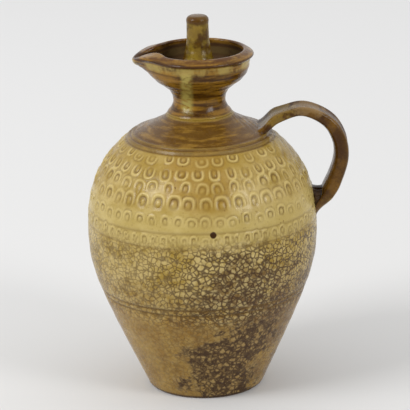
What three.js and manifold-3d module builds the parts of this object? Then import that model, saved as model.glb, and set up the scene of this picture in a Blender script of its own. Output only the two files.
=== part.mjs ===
// Stoneware jug with a pinched pouring lip, a pulled strap handle and a lift-off lid.
// Millimetres, +Z up. The origin is the centre of the foot, the handle is on +X, the lip on -X.
// On the bench it comes apart as the potter made it: a thrown pot, a separately thrown neck
// with its mouth, a pulled handle, the coil of clay that beds it, and a thrown lid.

import * as THREE from "three";
import { mergeVertices } from "three/addons/utils/BufferGeometryUtils.js";
import Module from "manifold-3d";

const wasm = await Module();
wasm.setup();

// Clearance between pieces that are cut to each other or rest on each other
const GAP = 0.3;

// Thrown pot
const FOOT_RADIUS = 48.5;
const FOOT_CHAMFER = 2.2;
const FLOOR_THICKNESS = 8;
const WALL = 6;
const BELLY_RADIUS = 95.3;
const BELLY_HEIGHT = 140;
const LOWER_WALL_FULLNESS = 0.96;
const LOWER_WALL_REACH = 0.7;
const BELLY_REACH_DOWN = 0.235;
const BELLY_REACH_UP = 0.425;
const RING_RADIUS = 59.5;
const SHOULDER_RISE = 76;
const RING_HEIGHT = BELLY_HEIGHT + SHOULDER_RISE;
const SHOULDER_REACH_OUT = 25;
const SHOULDER_REACH_DOWN = 19;

// Lines turned into the pot
const LINE_HEIGHT = 90;
const LINE_SPACING = 5;
const LINE_DEPTH = 0.7;
const LINE_WIDTH = 2.6;
const RING_RISE = 1;
const RING_WIDTH = 2.8;

// Neck and mouth, each height stacked on the one below it
const CAP_RISE = 18.5;
const SEAT_HEIGHT = RING_HEIGHT + CAP_RISE;
const NECK_FOOT_RADIUS = 27;
const NECK_RADIUS = 21.5;
const NECK_RISE = 11.5;
const NECK_HEIGHT = SEAT_HEIGHT + NECK_RISE;
const THROAT_RADIUS = 17.5;
const BOWL_RADIUS = 42.2;
const LEDGE_RISE = 14;
const LEDGE_HEIGHT = NECK_HEIGHT + LEDGE_RISE;
const BOWL_RISE = 17.5;
const BOWL_HEIGHT = LEDGE_HEIGHT + BOWL_RISE;
const BOWL_WALL = 5;
const COLLAR_RADIUS = 45.2;
const COLLAR_RISE = 7.8;
const COLLAR_HEIGHT = BOWL_HEIGHT + COLLAR_RISE;
const RIM_RISE = 5.5;
const RIM_HEIGHT = COLLAR_HEIGHT + RIM_RISE;
const RIM_INNER_RADIUS = 37;

// Pinched lip, drawn out of the collar
const LIP_PULL = 11.5;
const LIP_DROP = 7.2;
const LIP_SPREAD = 21;
const LIP_START_HEIGHT = LEDGE_HEIGHT + 4;
const PINCH_DEPTH = 1.8;
const PINCH_ANGLE = 44;
const PINCH_SPREAD = 13;

// Lid
const LEDGE_RADIUS = 24.5;
const LID_SIDE_CLEARANCE = 1.8;
const LID_THICKNESS = 4.5;
const SPIGOT_CLEARANCE = 2;
const SPIGOT_LENGTH = 12;
const KNOB_RADIUS = 9.6;
const KNOB_RISE = 25.4;
const LID_TOP = RIM_HEIGHT + KNOB_RISE;
const KNOB_EDGE = 2.4;

// Pulled handle
const STRAP_WIDTH = 26;
const STRAP_TOP_FLARE = 12;
const STRAP_END_FLARE = 5;
const STRAP_TOP_THICKNESS = 9;
const STRAP_BACK_THICKNESS = 11.2;
const STRAP_END_THICKNESS = 8;
const CHANNEL_DEPTH = 1.7;
const HANDLE_REACH = 23.3;
const HANDLE_BACK = BELLY_RADIUS + HANDLE_REACH;
const HANDLE_RISE = 23;
const HANDLE_TOP = RING_HEIGHT + HANDLE_RISE;
const HANDLE_FOOT_RISE = 8;
const HANDLE_FOOT_HEIGHT = BELLY_HEIGHT + HANDLE_FOOT_RISE;

// Coil of clay pressed into the lower crotch of the handle
const WAD_THICKNESS = 15;
const WAD_WIDTH = 23;
const WAD_LENGTH = 17;
const WAD_RISE = 18.5;
const WAD_HEIGHT = HANDLE_FOOT_HEIGHT + WAD_RISE;

// Fineness of the faceted solids
const POT_SEGMENTS = 40;
const NECK_SEGMENTS = 44;
const LID_SEGMENTS = 28;
const OUTLINE_STEP = 9;
const INSIDE_STEP = 15;
const STRAP_STATIONS = 26;
const STRAP_SIDES = 18;

const at = (radius, height) => new THREE.Vector2(radius, height);

function glaze(colour, roughness) {
  return new THREE.MeshStandardMaterial({ color: colour, roughness, metalness: 0 });
}

// A closed geometry: welded, without sliver triangles, with its faces pointing out
function closed(geometry) {
  geometry.deleteAttribute("normal");
  geometry.deleteAttribute("uv");
  const welded = mergeVertices(geometry, 1e-4);
  const place = welded.getAttribute("position");
  const index = welded.getIndex().array;
  const a = new THREE.Vector3();
  const b = new THREE.Vector3();
  const c = new THREE.Vector3();
  const kept = [];
  let volume = 0;
  for (let i = 0; i < index.length; i += 3) {
    const [p, q, r] = [index[i], index[i + 1], index[i + 2]];
    if (p === q || q === r || r === p) continue;
    kept.push(p, q, r);
    a.fromBufferAttribute(place, p);
    b.fromBufferAttribute(place, q);
    c.fromBufferAttribute(place, r);
    volume += a.dot(b.cross(c));
  }
  if (volume < 0) kept.reverse();
  welded.setIndex(kept);
  return welded;
}

// Revolves an outline of radius and height about the pot's axis
function turn(outline, segments) {
  return closed(new THREE.LatheGeometry(outline, segments).rotateX(Math.PI / 2));
}

function toSolid(geometry) {
  const vertProperties = Float32Array.from(geometry.getAttribute("position").array);
  const triVerts = Uint32Array.from(geometry.getIndex().array);
  return new wasm.Manifold(new wasm.Mesh({ numProp: 3, vertProperties, triVerts }));
}

function toGeometry(solid) {
  const mesh = solid.getMesh();
  const geometry = new THREE.BufferGeometry();
  geometry.setAttribute("position", new THREE.Float32BufferAttribute(mesh.vertProperties, 3));
  geometry.setIndex([...mesh.triVerts]);
  return geometry;
}

// Outer outline of the pot as three joined curves: lower wall, shoulder, cap under the neck
const potCurves = [
  new THREE.CubicBezierCurve(
    at(FOOT_RADIUS, FOOT_CHAMFER),
    at(
      THREE.MathUtils.lerp(FOOT_RADIUS, BELLY_RADIUS, LOWER_WALL_FULLNESS),
      THREE.MathUtils.lerp(FOOT_CHAMFER, BELLY_HEIGHT, LOWER_WALL_REACH),
    ),
    at(BELLY_RADIUS, THREE.MathUtils.lerp(BELLY_HEIGHT, FOOT_CHAMFER, BELLY_REACH_DOWN)),
    at(BELLY_RADIUS, BELLY_HEIGHT),
  ),
  new THREE.CubicBezierCurve(
    at(BELLY_RADIUS, BELLY_HEIGHT),
    at(BELLY_RADIUS, THREE.MathUtils.lerp(BELLY_HEIGHT, RING_HEIGHT, BELLY_REACH_UP)),
    at(RING_RADIUS + SHOULDER_REACH_OUT, RING_HEIGHT - SHOULDER_REACH_DOWN),
    at(RING_RADIUS, RING_HEIGHT),
  ),
  new THREE.CubicBezierCurve(
    at(RING_RADIUS, RING_HEIGHT),
    at(
      THREE.MathUtils.lerp(RING_RADIUS, NECK_FOOT_RADIUS, 0.28),
      THREE.MathUtils.lerp(RING_HEIGHT, SEAT_HEIGHT, 0.36),
    ),
    at(
      THREE.MathUtils.lerp(RING_RADIUS, NECK_FOOT_RADIUS, 0.82),
      THREE.MathUtils.lerp(RING_HEIGHT, SEAT_HEIGHT, 0.58),
    ),
    at(NECK_FOOT_RADIUS, SEAT_HEIGHT),
  ),
];

// Grooves (negative rise) and ridges (positive rise) turned into the pot
const turnedMarks = [
  { height: LINE_HEIGHT - LINE_SPACING, rise: -LINE_DEPTH, width: LINE_WIDTH },
  { height: LINE_HEIGHT, rise: -LINE_DEPTH, width: LINE_WIDTH },
  { height: RING_HEIGHT - 0.62 * RING_WIDTH, rise: -RING_RISE, width: RING_WIDTH },
  { height: RING_HEIGHT, rise: RING_RISE, width: RING_WIDTH },
  { height: RING_HEIGHT + 0.45 * RING_WIDTH, rise: -0.6 * RING_RISE, width: RING_WIDTH },
  { height: RING_HEIGHT + 0.9 * RING_WIDTH, rise: 0.7 * RING_RISE, width: RING_WIDTH },
];

// Points along joined curves, offset outwards, with extra points where a mark is turned
function outline(curves, step, offset, marks) {
  const path = new THREE.CurvePath();
  curves.forEach((curve) => path.add(curve));
  const length = path.getLength();
  const count = Math.round(length / step);
  const marked = marks.map((mark) => {
    let station = 0;
    while (station < length && path.getPoint(station / length).y < mark.height) station += 0.2;
    return { ...mark, station };
  });
  const nearMark = (s) => marked.some((m) => Math.abs(s - m.station) < 0.9 * m.width);
  const stations = [];
  for (let i = 0; i <= count; i += 1) {
    const s = (i / count) * length;
    if (i === 0 || i === count || !nearMark(s)) stations.push(s);
  }
  marked.forEach((m) => {
    stations.push(m.station - m.width / 2, m.station, m.station + m.width / 2);
  });
  stations.sort((p, q) => p - q);
  const spaced = stations.filter((s, i) => i === 0 || s - stations[i - 1] > 0.3);
  return spaced.map((s) => {
    const share = THREE.MathUtils.clamp(s / length, 0, 1);
    const point = path.getPoint(share);
    const along = path.getTangent(share);
    let out = offset;
    marked.forEach((m) => {
      const reach = Math.abs(s - m.station) / (m.width / 2);
      if (reach < 1) out += m.rise * (1 - reach);
    });
    return at(point.x + out * along.y, point.y - out * along.x);
  });
}

// Thrown pot, open at the top where the neck is luted on
function makePot() {
  const outside = outline(potCurves, OUTLINE_STEP, 0, turnedMarks);
  const smooth = outline(potCurves, INSIDE_STEP, -WALL, []);
  const inside = smooth.filter(
    (p) => p.y > FLOOR_THICKNESS + 2 && p.y < SEAT_HEIGHT - WALL && p.x > THROAT_RADIUS + 2,
  );
  inside.reverse();
  const lowest = inside[inside.length - 1];
  return turn(
    [
      at(0, 0),
      at(FOOT_RADIUS - FOOT_CHAMFER, 0),
      ...outside.slice(0, -1),
      at(NECK_FOOT_RADIUS, SEAT_HEIGHT),
      at(THROAT_RADIUS, SEAT_HEIGHT),
      at(THROAT_RADIUS, SEAT_HEIGHT - WALL),
      ...inside,
      at(lowest.x - WALL, FLOOR_THICKNESS),
      at(0, FLOOR_THICKNESS),
    ],
    POT_SEGMENTS,
  );
}

// Outer side of the neck and the bowl of the mouth above it
const neckCurve = new THREE.CubicBezierCurve(
  at(NECK_FOOT_RADIUS, SEAT_HEIGHT),
  at(NECK_FOOT_RADIUS - 1.4, THREE.MathUtils.lerp(SEAT_HEIGHT, NECK_HEIGHT, 0.3)),
  at(NECK_RADIUS, THREE.MathUtils.lerp(SEAT_HEIGHT, NECK_HEIGHT, 0.45)),
  at(NECK_RADIUS, NECK_HEIGHT),
);
const bowlCurve = new THREE.CubicBezierCurve(
  at(NECK_RADIUS, NECK_HEIGHT),
  at(NECK_RADIUS + 1, THREE.MathUtils.lerp(NECK_HEIGHT, BOWL_HEIGHT, 0.51)),
  at(BOWL_RADIUS - 1.6, THREE.MathUtils.lerp(NECK_HEIGHT, BOWL_HEIGHT, 0.38)),
  at(BOWL_RADIUS, BOWL_HEIGHT),
);

// Draws the lip out of the collar: pulled outwards and down at -X, pinched in on both sides
function drawLip(geometry) {
  const place = geometry.getAttribute("position");
  const degrees = 180 / Math.PI;
  for (let i = 0; i < place.count; i += 1) {
    const x = place.getX(i);
    const y = place.getY(i);
    const z = place.getZ(i);
    const radius = Math.hypot(x, y);
    const away = Math.abs(Math.atan2(y, -x)) * degrees;
    const lift = THREE.MathUtils.smoothstep(z, LIP_START_HEIGHT, COLLAR_HEIGHT);
    const lip = Math.exp(-((away / LIP_SPREAD) ** 2)) * lift;
    const pinch = Math.exp(-(((away - PINCH_ANGLE) / PINCH_SPREAD) ** 2)) * lift;
    const drawn = radius + LIP_PULL * lip - PINCH_DEPTH * pinch;
    place.setX(i, (x * drawn) / radius);
    place.setY(i, (y * drawn) / radius);
    place.setZ(i, z - LIP_DROP * lip * lift);
  }
  return geometry;
}

// Crowds the facets towards the lip, where the form turns most
function crowdTowardsLip(geometry) {
  const place = geometry.getAttribute("position");
  const crowding = 0.42;
  for (let i = 0; i < place.count; i += 1) {
    const radius = Math.hypot(place.getX(i), place.getY(i));
    const even = Math.atan2(place.getY(i), place.getX(i));
    const angle = even + crowding * Math.sin(even);
    place.setX(i, radius * Math.cos(angle));
    place.setY(i, radius * Math.sin(angle));
  }
  return geometry;
}

// Thrown neck and pouring bowl with a ledge for the lid, a collar and a pinched lip
function makeNeckAndMouth() {
  const outside = [
    ...neckCurve.getPoints(4),
    ...bowlCurve.getPoints(8).slice(1),
    at(BOWL_RADIUS + 0.2, THREE.MathUtils.lerp(BOWL_HEIGHT, COLLAR_HEIGHT, 0.2)),
    at(COLLAR_RADIUS - 1.3, THREE.MathUtils.lerp(BOWL_HEIGHT, COLLAR_HEIGHT, 0.5)),
    at(COLLAR_RADIUS, COLLAR_HEIGHT),
    at(COLLAR_RADIUS - 1.4, THREE.MathUtils.lerp(COLLAR_HEIGHT, RIM_HEIGHT, 0.55)),
    at(COLLAR_RADIUS - 4, THREE.MathUtils.lerp(COLLAR_HEIGHT, RIM_HEIGHT, 0.92)),
    at(RIM_INNER_RADIUS + 2, RIM_HEIGHT),
    at(RIM_INNER_RADIUS, RIM_HEIGHT - 1.4),
  ];
  const bowlInside = new THREE.CubicBezierCurve(
    at(BOWL_RADIUS - BOWL_WALL, BOWL_HEIGHT),
    at(BOWL_RADIUS - BOWL_WALL - 0.6, THREE.MathUtils.lerp(LEDGE_HEIGHT, BOWL_HEIGHT, 0.5)),
    at(LEDGE_RADIUS + 7, LEDGE_HEIGHT + 4),
    at(LEDGE_RADIUS, LEDGE_HEIGHT),
  );
  const profile = [
    ...outside,
    ...bowlInside.getPoints(6),
    at(THROAT_RADIUS + 0.8, LEDGE_HEIGHT),
    at(THROAT_RADIUS, LEDGE_HEIGHT - 0.8),
    at(THROAT_RADIUS, NECK_HEIGHT),
    at(THROAT_RADIUS, SEAT_HEIGHT),
    outside[0].clone(),
  ];
  return drawLip(crowdTowardsLip(turn(profile, NECK_SEGMENTS)));
}

// Thrown lid: a locating spigot, a disc that sits on the ledge, and a waisted knob
function makeLid() {
  const discRadius = LEDGE_RADIUS - LID_SIDE_CLEARANCE;
  const discBottom = LEDGE_HEIGHT + GAP;
  const discTop = discBottom + LID_THICKNESS;
  const spigotRadius = THROAT_RADIUS - SPIGOT_CLEARANCE;
  const knobSide = new THREE.CubicBezierCurve(
    at(discRadius - 1, discTop),
    at(0.8 * discRadius, THREE.MathUtils.lerp(discTop, LID_TOP, 0.25)),
    at(KNOB_RADIUS + 0.2, THREE.MathUtils.lerp(discTop, LID_TOP, 0.44)),
    at(KNOB_RADIUS - 0.1, THREE.MathUtils.lerp(discTop, LID_TOP, 0.82)),
  );
  const profile = [
    at(0, discBottom - SPIGOT_LENGTH),
    at(spigotRadius - 1, discBottom - SPIGOT_LENGTH),
    at(spigotRadius, discBottom - SPIGOT_LENGTH + 1),
    at(spigotRadius, discBottom),
    at(discRadius - 0.8, discBottom),
    at(discRadius, discBottom + 0.8),
    at(discRadius, discTop - 0.8),
    ...knobSide.getPoints(9),
    at(KNOB_RADIUS, LID_TOP - KNOB_EDGE),
    at(KNOB_RADIUS - 0.35 * KNOB_EDGE, LID_TOP - 0.35 * KNOB_EDGE),
    at(KNOB_RADIUS - 1.2 * KNOB_EDGE, LID_TOP - 0.1),
    at(0, LID_TOP),
  ];
  return turn(profile, LID_SEGMENTS);
}

// Centre line of the strap, from inside the shoulder round to inside the belly
const strapLine = new THREE.CatmullRomCurve3(
  [
    [RING_RADIUS - 22, RING_HEIGHT - 5],
    [RING_RADIUS - 11, RING_HEIGHT + 6.5],
    [RING_RADIUS + 6.5, HANDLE_TOP - 7],
    [HANDLE_BACK - 30, HANDLE_TOP],
    [HANDLE_BACK - 15, HANDLE_TOP - 4.5],
    [HANDLE_BACK - 3.2, HANDLE_TOP - 19],
    [HANDLE_BACK, HANDLE_TOP - 36],
    [HANDLE_BACK - 2.6, HANDLE_FOOT_HEIGHT + 40],
    [HANDLE_BACK - 8, HANDLE_FOOT_HEIGHT + 26],
    [BELLY_RADIUS + 10, HANDLE_FOOT_HEIGHT + 17],
    [BELLY_RADIUS + 4, HANDLE_FOOT_HEIGHT + 8],
    [BELLY_RADIUS - 6, HANDLE_FOOT_HEIGHT],
  ].map(([x, z]) => new THREE.Vector3(x, 0, z)),
);

// Flattened section of the strap, with two edge ribs and a channel between them on its back
function strapSection(angle, width, thickness) {
  const across = Math.sign(Math.cos(angle)) * Math.abs(Math.cos(angle)) ** 0.7 * (width / 2);
  const through = Math.sign(Math.sin(angle)) * Math.abs(Math.sin(angle)) ** 0.6 * (thickness / 2);
  const fromMiddle = Math.abs(across) / (width * 0.27);
  const channel = through > 0 ? CHANNEL_DEPTH * Math.max(0, 1 - fromMiddle ** 2) : 0;
  return { across, through: through - channel };
}

// Strap lofted along its line, wider where it is pressed on; grown makes it larger all round
function makeStrap(grown) {
  const positions = [];
  for (let i = 0; i <= STRAP_STATIONS; i += 1) {
    const share = i / STRAP_STATIONS;
    const centre = strapLine.getPointAt(share);
    const along = strapLine.getTangentAt(share);
    const back = new THREE.Vector3(-along.z, 0, along.x);
    const topFlare = STRAP_TOP_FLARE * (1 - THREE.MathUtils.smoothstep(share, 0.02, 0.24));
    const endFlare = STRAP_END_FLARE * THREE.MathUtils.smoothstep(share, 0.82, 0.97);
    const width = STRAP_WIDTH + topFlare + endFlare + 2 * grown;
    const upper = THREE.MathUtils.smoothstep(share, 0.1, 0.5);
    const lower = THREE.MathUtils.smoothstep(share, 0.6, 0.95);
    const nearBack = THREE.MathUtils.lerp(STRAP_TOP_THICKNESS, STRAP_BACK_THICKNESS, upper);
    const thickness = THREE.MathUtils.lerp(nearBack, STRAP_END_THICKNESS, lower) + 2 * grown;
    for (let j = 0; j < STRAP_SIDES; j += 1) {
      const { across, through } = strapSection((j / STRAP_SIDES) * 2 * Math.PI, width, thickness);
      const point = centre.clone().addScaledVector(back, through);
      positions.push(point.x, across, point.z);
    }
  }
  const index = [];
  for (let i = 0; i < STRAP_STATIONS; i += 1) {
    for (let j = 0; j < STRAP_SIDES; j += 1) {
      const a = i * STRAP_SIDES + j;
      const b = i * STRAP_SIDES + ((j + 1) % STRAP_SIDES);
      index.push(a, b, b + STRAP_SIDES, a, b + STRAP_SIDES, a + STRAP_SIDES);
    }
  }
  const last = STRAP_STATIONS * STRAP_SIDES;
  for (let j = 1; j < STRAP_SIDES - 1; j += 1) {
    index.push(0, j + 1, j, last, last + j, last + j + 1);
  }
  const geometry = new THREE.BufferGeometry();
  geometry.setAttribute("position", new THREE.Float32BufferAttribute(positions, 3));
  geometry.setIndex(index);
  return closed(geometry);
}

// The pot without its hollow and grown by the clearance, which cuts what is pressed on to it
function makePotCutter() {
  const outside = outline(potCurves, OUTLINE_STEP, GAP, turnedMarks);
  const top = outside[outside.length - 1];
  const profile = [
    at(0, -GAP),
    at(FOOT_RADIUS, -GAP),
    ...outside,
    at(top.x, SEAT_HEIGHT + GAP),
    at(0, SEAT_HEIGHT + GAP),
  ];
  return turn(profile, POT_SEGMENTS);
}

function makeHandle() {
  return toGeometry(toSolid(makeStrap(0)).subtract(toSolid(makePotCutter())));
}

// Coil of clay rolled along Y, in the crotch between the belly and the strap
function makeWad() {
  const roll = new THREE.SphereGeometry(1, 20, 12);
  roll.scale(WAD_THICKNESS / 2, WAD_WIDTH / 2, WAD_LENGTH / 2);
  roll.translate(BELLY_RADIUS + 2, 0, WAD_HEIGHT);
  const kept = toSolid(closed(roll))
    .subtract(toSolid(makePotCutter()))
    .subtract(toSolid(makeStrap(GAP)));
  return toGeometry(kept);
}

function piece(name, geometry, material) {
  const mesh = new THREE.Mesh(geometry, material);
  mesh.name = name;
  return mesh;
}

const jug = new THREE.Group();
jug.add(
  piece("body", makePot(), glaze(0xa08a4c, 0.3)),
  piece("neck_and_mouth", makeNeckAndMouth(), glaze(0x6f5028, 0.28)),
  piece("handle", makeHandle(), glaze(0x6b4c28, 0.35)),
  piece("luting_wad", makeWad(), glaze(0x4a3420, 0.5)),
  piece("lid", makeLid(), glaze(0x6a4a26, 0.3)),
);

export default jug;
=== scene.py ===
import math
import random

import bmesh
import bpy
import numpy as np
from mathutils import Matrix, Vector
from mathutils.geometry import interpolate_bezier


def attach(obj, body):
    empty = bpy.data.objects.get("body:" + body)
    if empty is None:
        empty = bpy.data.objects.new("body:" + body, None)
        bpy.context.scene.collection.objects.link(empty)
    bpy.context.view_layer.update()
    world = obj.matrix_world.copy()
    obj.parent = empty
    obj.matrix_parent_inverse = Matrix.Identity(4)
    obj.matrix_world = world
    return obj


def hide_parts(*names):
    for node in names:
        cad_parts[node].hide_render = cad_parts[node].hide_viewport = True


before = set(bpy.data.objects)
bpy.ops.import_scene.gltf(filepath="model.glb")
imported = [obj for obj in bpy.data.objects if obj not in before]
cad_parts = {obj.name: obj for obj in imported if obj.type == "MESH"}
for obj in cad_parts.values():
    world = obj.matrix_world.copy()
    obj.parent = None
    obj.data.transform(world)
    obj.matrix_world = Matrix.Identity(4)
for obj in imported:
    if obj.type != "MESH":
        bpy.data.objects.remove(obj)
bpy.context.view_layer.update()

# Sizes of the thrown pieces, in metres
MM = 0.001
FOOT_RADIUS = 48.5 * MM
FOOT_CHAMFER = 2.2 * MM
FLOOR_THICKNESS = 8 * MM
WALL = 6 * MM
BELLY_RADIUS = 95.3 * MM
BELLY_HEIGHT = 140 * MM
RING_RADIUS = 59.5 * MM
RING_HEIGHT = 216 * MM
LINE_HEIGHTS = (85 * MM, 90 * MM)
LINE_ZONE = (82 * MM, 93 * MM)
STAMP_LINE_HEIGHTS = (145.5 * MM, 157.5 * MM)
SEAT_HEIGHT = 234.5 * MM
NECK_FOOT_RADIUS = 27 * MM
NECK_RADIUS = 21.5 * MM
NECK_HEIGHT = 246 * MM
THROAT_RADIUS = 17.5 * MM
BOWL_RADIUS = 42.2 * MM
BOWL_HEIGHT = 277.5 * MM
BOWL_WALL = 5 * MM
COLLAR_RADIUS = 45.2 * MM
RIM_HEIGHT = 287.9 * MM
RIM_INNER_RADIUS = 37 * MM
LEDGE_HEIGHT = 260 * MM
LEDGE_RADIUS = 24.5 * MM
LID_GAP = 0.3 * MM
LID_THICKNESS = 4.5 * MM
LID_SIDE_CLEARANCE = 1.8 * MM
SPIGOT_CLEARANCE = 2 * MM
SPIGOT_LENGTH = 12 * MM
LID_TOP = 316.2 * MM
KNOB_RADIUS = 9.1 * MM
HANDLE_BACK = 116.6 * MM
HANDLE_TOP = 235.2 * MM
HANDLE_FOOT_HEIGHT = 148 * MM
STRAP_WIDTH = 26 * MM
STRAP_ROOT_THICKNESS = 8.6 * MM
STRAP_BACK_THICKNESS = 12.2 * MM
STRAP_FOOT_THICKNESS = 5 * MM
CHANNEL_DEPTH = 2.1 * MM
WAD_FOOT_HEIGHT = 151 * MM
WAD_RISE = 15.5 * MM
WAD_HALF_WIDTH = 11.4 * MM


# Outlines and the wheel

def bezier(*points, steps):
    """Points of one curve of an outline, given as (radius, height) four times."""
    corners = [Vector((radius, 0, height)) for radius, height in points]
    return [(p.x, p.z) for p in interpolate_bezier(*corners, steps)]


def spaced(outline, step):
    """The outline again, at an even spacing along it."""
    points = np.array(outline)
    along = np.concatenate([[0], np.cumsum(np.hypot(*np.diff(points, axis=0).T))])
    stations = np.linspace(0, along[-1], max(2, round(along[-1] / step)) + 1)
    radius = np.interp(stations, along, points[:, 0])
    height = np.interp(stations, along, points[:, 1])
    return list(zip(radius.tolist(), height.tolist()))


def inwards(outline, wall):
    """The outline moved towards the axis by the wall's thickness, square to itself."""
    points = np.array(outline)
    along = np.gradient(points, axis=0)
    along /= np.linalg.norm(along, axis=1)[:, None]
    moved = points - wall * np.stack([along[:, 1], -along[:, 0]], axis=1)
    return [tuple(p) for p in moved.tolist()]


def turned(name, outline, steps, ring=False):
    """A piece thrown on the wheel: the outline spun about the upright axis."""
    shape = bmesh.new()
    verts = [shape.verts.new((radius, 0, height)) for radius, height in outline]
    edges = [shape.edges.new(pair) for pair in zip(verts, verts[1:])]
    if ring:
        edges.append(shape.edges.new((verts[-1], verts[0])))
    bmesh.ops.spin(shape, geom=verts + edges, cent=(0, 0, 0), axis=(0, 0, 1),
                   angle=2 * math.pi, steps=steps, use_merge=True)
    bmesh.ops.remove_doubles(shape, verts=shape.verts, dist=0.02 * MM)
    return finished(name, shape)


def finished(name, shape):
    """Turns a bmesh into a smooth-shaded object with its faces outwards."""
    bmesh.ops.recalc_face_normals(shape, faces=shape.faces)
    for face in shape.faces:
        face.smooth = True
    mesh = bpy.data.meshes.new(name)
    shape.to_mesh(mesh)
    shape.free()
    piece = bpy.data.objects.new(name, mesh)
    bpy.context.scene.collection.objects.link(piece)
    return piece


def points_of(piece):
    """The vertices of a piece as an array."""
    flat = np.empty(len(piece.data.vertices) * 3)
    piece.data.vertices.foreach_get("co", flat)
    return flat.reshape(-1, 3)


def move_points(piece, points):
    piece.data.vertices.foreach_set("co", points.ravel())
    piece.data.update()


def mark(piece, name, values):
    """Stores one value per vertex, which the piece's glaze reads."""
    attribute = piece.data.attributes.new(name, "FLOAT", "POINT")
    attribute.data.foreach_set("value", values.astype(np.float32))


def smoothstep(values, low, high):
    share = np.clip((values - low) / (high - low), 0, 1)
    return share * share * (3 - 2 * share)


def bump_at(values, centre, half_width):
    """1 at the centre and falling smoothly to 0, for ridges and grooves."""
    return np.exp(-((values - centre) / half_width) ** 2)


# Thrown pot with its stamped shoulder

POT_STEPS = 480
STAMP_STEP = 0.95 * MM
POT_STEP = 3.6 * MM
INSIDE_STEP = 14 * MM
STAMP_ZONE = (139 * MM, 215 * MM)
STAMP_PITCH = 13.5 * MM
STROKE_PITCH = 8.6 * MM
STAMP_WIDTH = 8.4 * MM
STAMP_HEIGHT = 11.6 * MM
STAMP_DEPTH = 1.0 * MM
STAMP_SQUARENESS = 2.6

# Rows of thumb-sized stamps: height on the pot, share of full width and height,
# side left open (1 top, -1 bottom) and spacing
STAMP_ROWS = (
    (211.2 * MM, 0.88, 0.72, 1, STAMP_PITCH),
    (201.8 * MM, 1.0, 0.95, 1, STAMP_PITCH),
    (191.6 * MM, 0.98, 0.95, -1, STAMP_PITCH),
    (180.0 * MM, 1.05, 1.05, -1, STAMP_PITCH),
    (166.6 * MM, 0.85, 0.72, -1, 0.85 * STAMP_PITCH),
    (151.4 * MM, 0.6, 0.72, -1, STROKE_PITCH),
)

# Beads and grooves of the ring: how far along the wall from its crest, and how high
RING_TURNING = ((-2.6 * MM, -1.0), (0, 1.0), (1.9 * MM, -0.7), (3.9 * MM, 0.65), (6.5 * MM, -0.3))

# Where the potter wiped slip down the shoulder from the root of the handle
WIPE_HALF_ANGLE = math.radians(31)


def pot_outline():
    lower = bezier((FOOT_RADIUS, FOOT_CHAMFER), (93.4 * MM, 98.7 * MM),
                   (BELLY_RADIUS, 107.6 * MM), (BELLY_RADIUS, BELLY_HEIGHT), steps=60)
    upper = bezier((BELLY_RADIUS, BELLY_HEIGHT), (BELLY_RADIUS, 172.3 * MM),
                   (84.5 * MM, 197 * MM), (RING_RADIUS, RING_HEIGHT), steps=60)
    cap = bezier((RING_RADIUS, RING_HEIGHT), (50.4 * MM, 222.7 * MM),
                 (32.9 * MM, 226.7 * MM), (NECK_FOOT_RADIUS, SEAT_HEIGHT), steps=40)
    return lower + upper[1:] + cap[1:]


def stamp_relief(angle, arc, radius, arc_at):
    """How high, how dark and how pale the rows of stamps make each point of the shoulder."""
    relief = np.zeros_like(arc)
    dark = np.zeros_like(arc)
    light = np.zeros_like(arc)
    for row, (height, wide, tall, open_side, pitch) in enumerate(STAMP_ROWS):
        chance = random.Random(40 + row)
        middle = arc_at(height)
        near = np.abs(arc - middle) < 9 * MM
        row_radius = np.median(radius[near & (np.abs(arc - middle) < 1.2 * MM)])
        count = round(2 * math.pi * row_radius / pitch)
        turns = angle[near] / (2 * math.pi) * count + 0.5 * (row % 2)
        cell = np.floor(turns).astype(int) % count
        jitter = np.array([[chance.uniform(-1, 1) for _ in range(6)] for _ in range(count)])[cell]
        across = (turns - np.floor(turns) - 0.5) * pitch + 0.08 * pitch * jitter[:, 0]
        up = arc[near] - middle - 1.2 * MM * jitter[:, 1]
        lean = 0.22 * jitter[:, 2]
        across, up = across - lean * up, up + lean * across
        half_width = 0.5 * STAMP_WIDTH * wide * (1 + 0.2 * jitter[:, 3])
        half_height = 0.5 * STAMP_HEIGHT * tall * (1 + 0.14 * jitter[:, 4])
        square = (np.abs(across / half_width) ** STAMP_SQUARENESS
                  + np.abs(up / half_height) ** STAMP_SQUARENESS)
        from_middle = square ** (1 / STAMP_SQUARENESS)
        closed = 1 - smoothstep(open_side * up / half_height, 0.3 * jitter[:, 5], 0.75)
        strength = 0.75 + 0.25 * jitter[:, 1]
        loop = bump_at(from_middle, 1.04, 0.19) * closed * strength
        hollow = bump_at(from_middle, 0.64, 0.2) * (0.35 + 0.65 * closed) * strength
        skirt = bump_at(from_middle, 1.42, 0.16) * closed * (0.6 + 0.4 * jitter[:, 0])
        pad = (1 - smoothstep(from_middle, 0.05, 0.45)) * (0.35 + 0.35 * jitter[:, 3])
        relief[near] += STAMP_DEPTH * wide * (0.62 * loop - 0.8 * hollow - 0.3 * skirt + 0.25 * pad)
        dark[near] = np.maximum(dark[near], np.maximum(0.9 * hollow, 0.6 * skirt) * (1 - loop))
        light[near] = np.maximum(light[near], np.maximum(loop, 0.55 * pad))
    return relief, dark, light


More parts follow.
